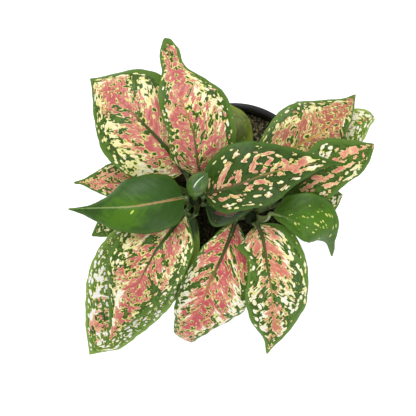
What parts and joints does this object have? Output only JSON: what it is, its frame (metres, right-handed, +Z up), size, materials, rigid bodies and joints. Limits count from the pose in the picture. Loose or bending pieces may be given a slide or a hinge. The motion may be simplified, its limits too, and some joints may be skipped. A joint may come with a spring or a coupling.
{
  "type": "potted chinese evergreen",
  "caption": "Bushy pink, cream and green variegated Chinese evergreen on two short canes, growing in a filled black plastic nursery pot.",
  "frame": {"origin": "middle of the pot's underside, on the surface that the pot stands on", "axes": "+Z up, out of the pot; +Y towards the back of the plant, where the tallest pink leaf points; +X to the plant's right"},
  "size_m": [0.2773, 0.2881, 0.2413],
  "materials": {
    "pot_plastic": "satin",
    "potting_mix": "matte",
    "cane": "satin",
    "leaf_variegated": "satin",
    "leaf_green": "satin"
  },
  "bodies": {
    "root": {"pot": "pot_plastic", "soil": "potting_mix", "stem_left": "cane", "stem_right": "cane", "leaf_back_left": "leaf_variegated", "leaf_back": "leaf_variegated", "leaf_old_green": "leaf_green", "leaf_back_right": "leaf_variegated", "leaf_back_right_low": "leaf_variegated", "leaf_top_right": "leaf_variegated", "leaf_right": "leaf_variegated", "leaf_right_low": "leaf_variegated", "leaf_shaded": "leaf_variegated", "leaf_green_right": "leaf_green", "leaf_green_left": "leaf_green", "leaf_left_low": "leaf_variegated", "leaf_left_lowest": "leaf_variegated", "leaf_front_left": "leaf_variegated", "leaf_front_left_low": "leaf_variegated", "leaf_front": "leaf_variegated", "leaf_front_right": "leaf_variegated", "leaf_unfurling": "leaf_green"}
  },
  "joints": []
}
